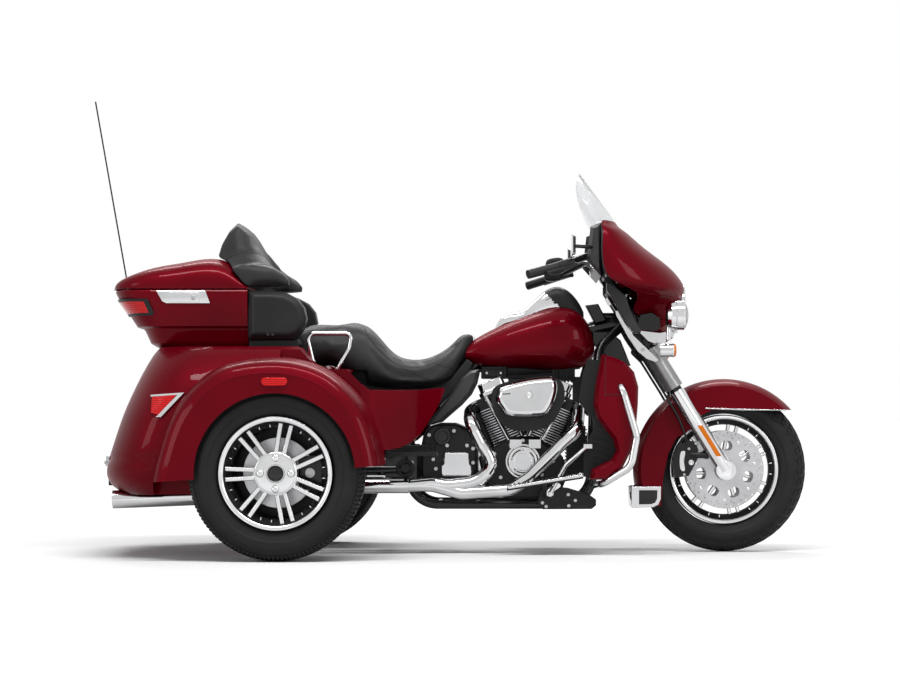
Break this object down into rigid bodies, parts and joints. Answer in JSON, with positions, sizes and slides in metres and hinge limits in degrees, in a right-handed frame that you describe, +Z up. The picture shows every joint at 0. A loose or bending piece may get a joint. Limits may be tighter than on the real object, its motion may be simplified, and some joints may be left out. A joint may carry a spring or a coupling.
{
  "type": "motorized trike",
  "caption": "Three-wheeled touring motorcycle with a finned V-twin engine, bowed fairing, wide rear body with a trunk, hinged top box and steering fork.",
  "frame": {"origin": "on the ground at the middle of the box around the trike", "axes": "+X forward along the middle plane, +Y to the rider's left, +Z up"},
  "size_m": [2.791, 1.406, 1.7685],
  "materials": {
    "red_paint": "deep metallic gloss",
    "chrome": "polished",
    "black_gloss": "gloss black",
    "black_satin": "satin black",
    "engine_black": "black finned casting",
    "machined": "machined and clear coated",
    "disc_steel": "ground",
    "tyre": "matt",
    "leather": "grained vinyl",
    "black_plastic": "fine grain",
    "clear_glass": "clear polycarbonate",
    "lamp_glass": "clear lens over reflector",
    "red_lens": "red lens",
    "rubber": "ribbed"
  },
  "bodies": {
    "chassis": {"rear_fenders": "red_paint", "rear_body": "red_paint", "side_panels": "red_paint", "tail_lamps": "red_lens", "tour_box_base": "red_paint", "tour_box_lamps": "red_lens", "speaker_pods": "black_plastic", "seat": "leather", "fuel_tank": "red_paint", "tank_console": "chrome", "side_covers": "black_gloss", "cylinder_rear": "engine_black", "cylinder_front": "engine_black", "rocker_covers": "black_gloss", "crankcase": "black_satin", "gearbox": "black_satin", "engine_covers": "chrome", "pushrod_tubes": "chrome", "primary_cover": "chrome", "air_cleaner_cover": "chrome", "air_cleaner_back": "black_satin", "exhaust": "chrome", "frame": "black_gloss", "rear_axle": "black_satin", "engine_guard": "chrome", "lower_fairings": "red_paint", "lower_liners": "black_plastic", "footboards": "rubber", "foot_controls": "chrome", "handrails": "chrome", "antenna": "black_satin"},
    "steering": {"fork_legs": "machined", "fork_clamps": "chrome", "fork_covers": "chrome", "handlebar": "black_gloss", "hand_controls": "black_satin", "fairing_outer": "red_paint", "fairing_inner": "black_plastic", "windshield": "clear_glass", "headlamp": "lamp_glass", "lamp_bar": "chrome", "front_fender": "red_paint", "front_calipers": "black_satin", "brake_lines": "rubber", "mirrors": "black_gloss"},
    "front_wheel": {"front_tyre": "tyre", "front_rim": "machined", "front_disc_right": "disc_steel", "front_disc_left": "disc_steel"},
    "rear_wheel_right": {"rear_tyre_right": "tyre", "rear_rim_right": "machined"},
    "rear_wheel_left": {"rear_tyre_left": "tyre", "rear_rim_left": "machined"},
    "box_lid": {"tour_box_lid": "red_paint", "backrest": "leather"},
    "trunk_door": {"trunk_door": "red_paint"}
  },
  "joints": [
    {"name": "steering_turn", "type": "hinge", "parent": "chassis", "child": "steering", "pos_m": [1.175, 0, 0], "axis": [-0.4384, 0, 0.8988], "range_deg": [-34, 34]},
    {"name": "front_wheel_spin", "type": "hinge", "parent": "steering", "child": "front_wheel", "pos_m": [1.076, 0, 0.318], "axis": [0, 1, 0], "continuous": true},
    {"name": "rear_wheel_right_spin", "type": "hinge", "parent": "chassis", "child": "rear_wheel_right", "pos_m": [-0.594, -0.57, 0.32], "axis": [0, 1, 0], "continuous": true},
    {"name": "rear_wheel_left_spin", "type": "hinge", "parent": "chassis", "child": "rear_wheel_left", "pos_m": [-0.594, 0.57, 0.32], "axis": [0, 1, 0], "continuous": true},
    {"name": "box_lid_hinge", "type": "hinge", "parent": "chassis", "child": "box_lid", "pos_m": [-1.025, 0.303, 1], "axis": [-1, 0, 0], "range_deg": [0, 80]},
    {"name": "trunk_door_hinge", "type": "hinge", "parent": "chassis", "child": "trunk_door", "pos_m": [-1.289, 0, 0.348], "axis": [0, -1, 0], "range_deg": [0, 90]}
  ]
}
